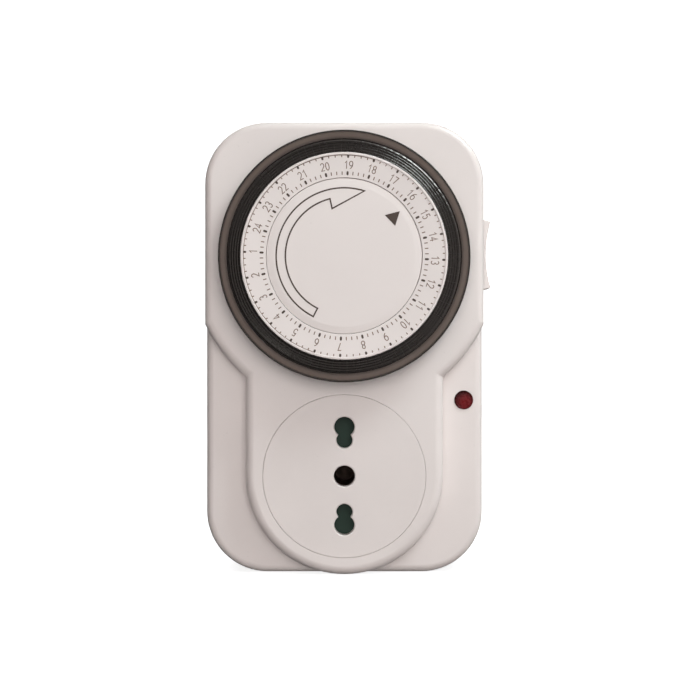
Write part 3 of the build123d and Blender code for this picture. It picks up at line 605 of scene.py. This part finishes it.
def dial_rim():
    """The smoked grip ring again, with polished round edges."""
    left, right, _, _, back, front = corners("dial_rim")
    outer = (right - left) / 2
    inner = outer - RIM_WALL
    profile = rounded_profile(
        [
            (inner, back, 0.1 * MM),
            (outer, back, 0.15 * MM),
            (outer, front, 0.2 * MM),
            (inner, front, 0.15 * MM),
        ]
    )
    piece = lathe("dial_rim_polished", profile, (DIAL_X, DIAL_Z), steps=720)
    piece.data.materials.append(smoked)
    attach(piece, "dial")
    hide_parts("dial_rim")


# Ridges across a segment's top: the radial place of each crest as a share of the segment's width,
# and how far the crest lies under the segment's front.
RIDGES = [(0.03, 0.50 * MM), (0.235, 0.38 * MM), (0.44, 0.26 * MM), (0.645, 0.14 * MM), (0.85, 0.0)]
RIDGE_FACE = 0.30 * MM  # radial width of a ridge's outward slope
RIDGE_FALL = 0.22 * MM  # how far that slope falls
VALLEY_DROP = 0.75 * MM
RIDGE_STEPS = 4
RIDGE_SIDE = 0.02 * MM  # radial width of a ridge's steep sides

SEGMENT_INNER = 27.15 * MM
SEGMENT_OUTER = 30.3 * MM
HEAD_BACK = 39.3 * MM
HEAD_OVERLAP = 0.2 * MM  # how far a stem runs into its head
HALF_GAP = 0.02 * MM  # half the gap between neighbouring segments
HALF_RIB = 0.3 * MM  # half the drum's rib between hours
END_ANGLE = 0.15  # how much of a head's end is lowered
END_DROP = 0.02 * MM
INNER_END_DROP = 0.15  # the inner ridges' share of END_DROP


def segment_profile(inner, outer, back, front, end_drop):
    """One cross-section of a segment's head, as (radius, depth) points.

    Each ridge rises steeply on its inner side and slopes gently outwards, a little rounded;
    end_drop lowers the outer ridge, and the others by less.
    """
    valley = front - VALLEY_DROP
    top = [(inner, valley)]
    for i, (share, drop) in enumerate(RIDGES):
        start = inner + (outer - inner) * share
        outermost = i == len(RIDGES) - 1
        crest = front - drop - end_drop * (1 if outermost else INNER_END_DROP)
        top.append((start, valley))
        for step in range(RIDGE_STEPS + 1):
            along = step / RIDGE_STEPS
            fall = RIDGE_FALL * (0.8 * along + 0.2 * along**2)
            top.append((start + RIDGE_SIDE + RIDGE_FACE * along, crest - fall))
        top.append((start + 2 * RIDGE_SIDE + RIDGE_FACE, valley))
    top.append((outer, valley))
    return [(inner, back), (outer, back)] + top[::-1]


def sector(sections):
    """Vertices and faces of a solid that runs round the dial through (angle, profile) sections."""
    vertices = []
    faces = []
    for angle, profile in sections:
        vertices += [around_dial(radius, angle, depth) for radius, depth in profile]
    count = len(sections[0][1])
    for section in range(len(sections) - 1):
        here = section * count
        there = here + count
        for i in range(count):
            j = (i + 1) % count
            faces.append((here + i, here + j, there + j, there + i))
    last = (len(sections) - 1) * count
    faces += [tuple(range(count)), tuple(range(last, last + count))]
    return vertices, faces


def segment_set(name):
    """The eight segments of one set: ridged heads on stems that clear the drum's hour ribs."""
    low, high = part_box(name)
    back = -high.y
    front = -low.y
    half_gap = math.degrees(HALF_GAP / SEGMENT_INNER)
    half_rib = math.degrees(HALF_RIB / SEGMENT_INNER)
    low_end = segment_profile(SEGMENT_INNER, SEGMENT_OUTER, HEAD_BACK, front, END_DROP)
    full = segment_profile(SEGMENT_INNER, SEGMENT_OUTER, HEAD_BACK, front, 0)
    stem = [
        (SEGMENT_INNER, back),
        (SEGMENT_OUTER, back),
        (SEGMENT_OUTER, HEAD_BACK + HEAD_OVERLAP),
        (SEGMENT_INNER, HEAD_BACK + HEAD_OVERLAP),
    ]
    vertices = []
    faces = []
    for index in range(2 * QUARTERS):
        start = FIRST_HOUR + HOUR_ANGLE * int(name[-2:]) + QUARTER_ANGLE * index
        first = start + half_gap
        last = start + QUARTER_ANGLE - half_gap
        middle = (first + last) / 2
        head_sections = [
            (first, low_end),
            (first + END_ANGLE, full),
            (middle, full),
            (last - END_ANGLE, full),
            (last, low_end),
        ]
        after_rib = index % QUARTERS == 0
        before_rib = index % QUARTERS == QUARTERS - 1
        stem_first = start + half_rib if after_rib else first
        stem_last = start + QUARTER_ANGLE - half_rib if before_rib else last
        stem_sections = [(stem_first, stem), (middle, stem), (stem_last, stem)]
        for sections in (head_sections, stem_sections):
            base = len(vertices)
            new_vertices, new_faces = sector(sections)
            vertices += new_vertices
            faces += [tuple(base + i for i in face) for face in new_faces]
    piece = mesh_object(f"{name}_ridged", vertices, faces, smooth_angle=32)
    piece.data.materials.append(segment_black)
    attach(piece, name)
    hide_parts(name)


ring_face = number_ring()
cap_face = centre_cap()
dial_rim()
for set_name in SET_NAMES:
    segment_set(set_name)


# ---- printing on the dial ----------------------------------------------------------------------

INK_THICKNESS = 0.02 * MM
DIGIT_HEIGHT = 1.98 * MM
DIGIT_STROKE = 0.115  # of the height
DIGIT_WIDTH = 0.82  # of the drawn strokes
DIGIT_ADVANCE = 0.64
DIGIT_CELL = 0.58  # width of a drawn digit, for a height of 1
DIGIT_CENTRE = 23.6 * MM
NUMBER_SHIFT = -0.5  # turns the numbers off their ticks, in degrees

# Ticks stand on both sides of the numbers: the middle of each row, then how long its ticks are on
# the hours and between them.
TICK_ROWS = [(21.45 * MM, 1.10 * MM, 0.95 * MM), (25.85 * MM, 0.90 * MM, 0.62 * MM)]
HOUR_TICK_WIDTH = 0.56 * MM
TICK_WIDTH = 0.27 * MM
NIGHT_RADIUS = 26.18 * MM  # the line that marks the night hours
NIGHT_WIDTH = 0.22 * MM
NIGHT_START = 18
NIGHT_END = 6

ARROW_OUTER = 17.65 * MM
ARROW_INNER = 15.25 * MM
ARROW_BARB = 12.65 * MM
ARROW_TAIL = 243.0
ARROW_TIP = 72.6
ARROW_NOTCH = 104.0
ARROW_BARB_ANGLE = 104.4
ARROW_LINE = 0.40 * MM

POINTER_RADIUS = 16.2 * MM  # of the triangle's centre
POINTER_ANGLE = 38.1
POINTER_REACH = 2.30 * MM  # from that centre to a corner
POINTER_TURN = 43.8
POINTER_CORNERS = (0, 122, 238)


def digit_strokes(digit):
    """A digit's strokes in a cell of height 1, each a list of points and whether it is closed."""
    bowl = arc_points((0.29, 0.31), (0.27, 0.31), 0, 345, 23)
    stem = arc_points((0.60, 0.30), (0.58, 0.70), 172, 104, 8)
    hook = arc_points((0.28, 0.72), (0.26, 0.28), 165, -38, 12)
    shapes = {
        "0": [(arc_points((0.29, 0.5), (0.26, 0.5), 0, 345, 23), True)],
        "1": [([(0.10, 0.74), (0.36, 1.0), (0.36, 0.0)], False)],
        "2": [(hook + [(0.02, 0.02), (0.57, 0.02)], False)],
        "3": [
            (arc_points((0.27, 0.745), (0.24, 0.255), 150, -90, 12), False),
            (arc_points((0.27, 0.265), (0.27, 0.265), 90, -150, 12), False),
        ],
        "4": [([(0.42, 0.0), (0.42, 1.0), (0.02, 0.29), (0.60, 0.29)], False)],
        "5": [
            ([(0.52, 0.98), (0.12, 0.98), (0.07, 0.53)], False),
            (arc_points((0.27, 0.32), (0.27, 0.32), 138, -150, 14), False),
        ],
        "6": [(bowl, True), (stem, False)],
        "7": [([(0.02, 0.98), (0.55, 0.98), (0.20, 0.0)], False)],
        "8": [
            (arc_points((0.29, 0.75), (0.225, 0.25), 0, 345, 23), True),
            (arc_points((0.29, 0.26), (0.27, 0.26), 0, 345, 23), True),
        ],
        "9": [
            ([(DIGIT_CELL - x, 1 - y) for x, y in bowl], True),
            ([(DIGIT_CELL - x, 1 - y) for x, y in stem], False),
        ],
    }
    return shapes[digit]


def placer(radius, degrees):
    """Turns a drawing whose top points outwards into positions round the dial."""
    angle = math.radians(degrees)
    outward = Vector((math.cos(angle), math.sin(angle)))
    rightward = Vector((math.sin(angle), -math.cos(angle)))

    def place(x, y, depth):
        spot = outward * (radius + y) + rightward * x
        return (DIAL_X + spot.x, -depth, DIAL_Z + spot.y)

    return place


def print_number(ink, number, degrees):
    digits = str(number)
    width = DIGIT_ADVANCE * (len(digits) - 1) + DIGIT_CELL * DIGIT_WIDTH
    place = placer(DIGIT_CENTRE, degrees)
    for i, digit in enumerate(digits):
        left = DIGIT_ADVANCE * i - width / 2
        for points, closed in digit_strokes(digit):
            cell = [(x * DIGIT_WIDTH + left, y - 0.5) for x, y in points]
            spots = [(x * DIGIT_HEIGHT, y * DIGIT_HEIGHT) for x, y in cell]
            ink.stroke(spots, DIGIT_STROKE * DIGIT_HEIGHT, place, closed)


def print_tick(ink, degrees, radius, length, width):
    """A short radial dash with round ends."""
    end = length / 2 - width / 2
    round_end = (width / 2, width / 2)
    outline = arc_points((0, end), round_end, 0, 180, 6)
    outline += arc_points((0, -end), round_end, 180, 360, 6)
    ink.fill(outline, placer(radius, degrees))


def print_ring():
    """The hours, a tick for every quarter on both sides of them, and the night line."""
    numbers = Ink("dial_numbers", ring_face, INK_THICKNESS)
    for hour in range(1, HOURS + 1):
        print_number(numbers, hour, FIRST_HOUR + HOUR_ANGLE * hour + NUMBER_SHIFT)
    hour_ticks = Ink("dial_hour_ticks", ring_face, INK_THICKNESS)
    for mark in range(HOURS * QUARTERS):
        degrees = FIRST_HOUR + QUARTER_ANGLE * mark
        on_hour = mark % QUARTERS == 0
        for radius, hour_length, length in TICK_ROWS:
            if on_hour:
                print_tick(hour_ticks, degrees, radius, hour_length, HOUR_TICK_WIDTH)
            else:
                print_tick(numbers, degrees, radius, length, TICK_WIDTH)
    night_start = FIRST_HOUR + HOUR_ANGLE * NIGHT_START
    night_end = FIRST_HOUR + HOUR_ANGLE * (HOURS + NIGHT_END)
    night = arc_points((0, 0), (NIGHT_RADIUS, NIGHT_RADIUS), night_start, night_end, 120)
    numbers.stroke(night, NIGHT_WIDTH, lambda x, y, depth: (DIAL_X + x, -depth, DIAL_Z + y))
    numbers.finish(ink_faint, "dial")
    hour_ticks.finish(ink_brown, "dial")


def polar(radius, degrees):
    return radius * math.cos(math.radians(degrees)), radius * math.sin(math.radians(degrees))


def print_cap():
    """The outlined arrow that shows how the dial turns, and the triangle that reads the time."""
    place = placer(0, 90)
    ink = Ink("cap_marks", cap_face, INK_THICKNESS)
    arrow = arc_points((0, 0), (ARROW_OUTER, ARROW_OUTER), ARROW_TAIL, ARROW_TIP, 60)
    arrow.append(polar(ARROW_BARB, ARROW_BARB_ANGLE))
    arrow += arc_points((0, 0), (ARROW_INNER, ARROW_INNER), ARROW_NOTCH, ARROW_TAIL, 50)
    ink.stroke(arrow, ARROW_LINE, place, closed=True)
    centre_x, centre_y = polar(POINTER_RADIUS, POINTER_ANGLE)
    triangle = [polar(POINTER_REACH, POINTER_TURN + turn) for turn in POINTER_CORNERS]
    ink.fill([(centre_x + x, centre_y + y) for x, y in triangle], place)
    ink.finish(ink_brown, "housing")


print_ring()
print_cap()


# ---- rocker ------------------------------------------------------------------------------------

ROCKER_HALF = 9.65 * MM  # half its height, at the wall
ROCKER_FACE_HALF = 8.95 * MM
ROCKER_WAIST = 1.0 * MM  # how far its hollow middle stands out from the wall
ROCKER_ROOT_X = 34.5 * MM
ROCKER_ROOT_HALF = 8.9 * MM
ROCKER_INSET = 1.4 * MM  # how much narrower its face is than its body
ROCKER_SHOULDER = 0.4 * MM
ROCKER_STEPS = 16


def rocker():
    """The side rocker again, with a hollow face and softened edges."""
    _, proud, low, high, back, front = corners("rocker")
    middle = (low + high) / 2
    wall = corners("front_housing")[1]
    waist = wall + ROCKER_WAIST
    shoulder = wall - ROCKER_SHOULDER
    sag = proud - waist
    radius = (ROCKER_FACE_HALF**2 + sag**2) / (2 * sag)
    swing = math.asin(ROCKER_FACE_HALF / radius)
    face = []
    for i in range(ROCKER_STEPS + 1):
        angle = swing - 2 * swing * i / ROCKER_STEPS
        face.append((waist + radius - radius * math.cos(angle), radius * math.sin(angle)))
    inside = [
        (shoulder, -ROCKER_HALF),
        (ROCKER_ROOT_X, -ROCKER_ROOT_HALF),
        (ROCKER_ROOT_X, ROCKER_ROOT_HALF),
        (shoulder, ROCKER_HALF),
    ]
    outline = [(x, middle + z) for x, z in face + inside]
    vertices, faces = solid_from_outline(
        outline,
        back + ROCKER_INSET,
        front - ROCKER_INSET,
        lambda x, z, depth: (x, -depth, z),
    )
    piece = mesh_object("rocker_cap", vertices, faces, smooth_angle=30)
    bevel = piece.modifiers.new("soft_edges", "BEVEL")
    bevel.width = 0.35 * MM
    bevel.segments = 4
    bevel.limit_method = "ANGLE"
    bevel.angle_limit = math.radians(25)
    bevel.harden_normals = False
    piece.data.materials.append(rocker_white)
    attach(piece, "rocker")
    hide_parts("rocker")


rocker()


# ---- pilot lens --------------------------------------------------------------------------------

LENS_INSET = 0.25 * MM  # how much narrower the lens is than its flange
LENS_FLANGE_THICKNESS = 1.2 * MM
LENS_HUB = 0.05 * MM


def pilot_lens():
    """The red lens again: a flange behind a low head with a rim round a sunken middle."""
    left, right, low, high, back, front = corners("lamp_lens")
    flange = (right - left) / 2
    radius = flange - LENS_INSET
    step = back + LENS_FLANGE_THICKNESS
    profile = rounded_profile(
        [
            (LENS_HUB, back, 0),
            (flange, back, 0),
            (flange, step, 0),
            (radius, step, 0),
            (radius, front - 0.12 * MM, 0.12 * MM),
            (radius - 0.35 * MM, front - 0.15 * MM, 0.1 * MM),
            (radius - 0.5 * MM, front - 0.3 * MM, 0.05 * MM),
            (LENS_HUB, front - 0.02 * MM, 0),
        ],
        steps=4,
    )
    piece = lathe("lamp_lens_domed", profile, ((left + right) / 2, (low + high) / 2), steps=96)
    piece.data.materials.append(red)
    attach(piece, "housing")
    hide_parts("lamp_lens")


pilot_lens()


# ---- stage, lights and camera ------------------------------------------------------------------

GLOW_NEAR = 0.1  # where on Y a stage surface's glow starts and stops changing
GLOW_FAR = 0.8


def plane(name, points, material, shadows=True):
    """A stage surface that shows, but that throws no light on the object."""
    mesh = bpy.data.meshes.new(name)
    mesh.from_pydata(points, [], [(0, 1, 2, 3)])
    stage = bpy.data.objects.new(name, mesh)
    stage.visible_diffuse = False
    stage.visible_glossy = False
    stage.visible_shadow = shadows
    scene.collection.objects.link(stage)
    mesh.materials.append(material)


def pale(name, colour, near_glow, far_glow):
    """A pale surface with a soft glow of its own, which changes on the way to the back."""
    paint = Paint(name)
    paint.set("Emission Color", (1, 1, 1, 1))
    split = paint.nodes.new("ShaderNodeSeparateXYZ")
    paint.links.new(paint.coordinates, split.inputs["Vector"])
    glow = paint.remap(split.outputs["Y"], GLOW_NEAR, GLOW_FAR, near_glow, far_glow)
    paint.link(glow, "Emission Strength")
    paint.link(paint.mix(paint.noise(3), colour, shaded(colour, 0.985)), "Base Color")
    paint.link(paint.spread(paint.noise(40), 0.85, 0.95), "Roughness")
    return paint.material


def area_light(name, position, size, power, colour, mirrored=True):
    """A soft box aimed at the object; one that isn't mirrored doesn't show in its gloss."""
    data = bpy.data.lights.new(name, "AREA")
    data.shape = "RECTANGLE"
    data.size = size
    data.size_y = size
    data.energy = power
    data.color = colour
    light = bpy.data.objects.new(name, data)
    light.location = position
    light.visible_glossy = mirrored
    aim = Vector(TARGET) - Vector(position)
    light.rotation_euler = aim.to_track_quat("-Z", "Y").to_euler()
    scene.collection.objects.link(light)


ground = corners("rear_housing")[2]
FLOOR_REACH = 3.0
CARD_BACK = 1.2  # a card stands behind the object, and a pale room round both
CARD_HALF = 0.55
CARD_TOP = 0.7
WALL_BACK = 1.3
WALL_TOP = 3.0


def upright(start, end, top):
    """The corners of a wall that stands on the floor between two points."""
    return [(*start, ground), (*end, ground), (*end, top), (*start, top)]


plane(
    "floor",
    [
        (-FLOOR_REACH, -FLOOR_REACH, ground),
        (FLOOR_REACH, -FLOOR_REACH, ground),
        (FLOOR_REACH, CARD_BACK, ground),
        (-FLOOR_REACH, CARD_BACK, ground),
    ],
    pale("floor_white", (0.4, 0.4, 0.4), 0.82, 0.98),
)
backdrop_white = pale("backdrop_white", (0.9, 0.9, 0.9), 1.0, 1.0)
card = upright((-CARD_HALF, CARD_BACK), (CARD_HALF, CARD_BACK), CARD_TOP)
plane("backdrop", card, backdrop_white)
room = [
    (-FLOOR_REACH, WALL_BACK),
    (FLOOR_REACH, WALL_BACK),
    (FLOOR_REACH, -FLOOR_REACH),
    (-FLOOR_REACH, -FLOOR_REACH),
]
for i, (start, end) in enumerate(zip(room, room[1:] + room[:1])):
    plane(f"wall_{i + 1}", upright(start, end, WALL_TOP), backdrop_white, shadows=False)

TARGET = (0, -0.03, 0.034)
COOL = (0.86, 1.0, 1.01)
WARM = (1.0, 0.968, 0.95)
HARDLY_WARM = (1.0, 0.98, 0.96)

area_light("key", (0.30, -0.20, 0.45), 0.20, 1.68, COOL)
area_light("fill", (0.05, -0.90, 0.15), 0.60, 4.35, WARM, mirrored=False)
area_light("back", (-0.30, 0.70, 0.50), 0.40, 7.0, HARDLY_WARM, mirrored=False)


def studio_world(direction, bright, dim):
    """Soft light that fades from one side of the room to the other."""
    world = bpy.data.worlds.new("studio")
    world.use_nodes = True
    nodes = world.node_tree.nodes
    links = world.node_tree.links
    toward = nodes.new("ShaderNodeVectorMath")
    toward.operation = "DOT_PRODUCT"
    toward.inputs[1].default_value = Vector(direction).normalized()
    fade = nodes.new("ShaderNodeMapRange")
    fade.inputs["From Min"].default_value = -1
    fade.inputs["To Min"].default_value = dim
    fade.inputs["To Max"].default_value = bright
    fade.interpolation_type = "SMOOTHSTEP"
    links.new(nodes.new("ShaderNodeTexCoord").outputs["Generated"], toward.inputs[0])
    links.new(toward.outputs["Value"], fade.inputs["Value"])
    links.new(fade.outputs["Result"], nodes["Background"].inputs["Strength"])
    nodes["Background"].inputs["Color"].default_value = (*WARM, 1)
    scene.world = world


studio_world((0.75, -0.20, 0.62), 0.53, 0.0)

FACE_DEPTH = 36 * MM  # of the housing's raised front
CAMERA_DISTANCE = 400 * MM  # from that front
CAMERA_X = 1.5 * MM
CAMERA_Z = 33.4 * MM
SENSOR_WIDTH = 36  # Blender counts this and the focal length in millimetres
FOCAL_LENGTH = 77.76

camera_data = bpy.data.cameras.new("camera")
camera_data.sensor_width = SENSOR_WIDTH
camera_data.lens = FOCAL_LENGTH
camera_data.clip_start = 10 * MM
camera = bpy.data.objects.new("camera", camera_data)
camera.location = (CAMERA_X, -FACE_DEPTH - CAMERA_DISTANCE, CAMERA_Z)
camera.rotation_euler = (math.radians(90), 0, 0)
scene.collection.objects.link(camera)
scene.camera = camera
scene.view_settings.view_transform = "Standard"
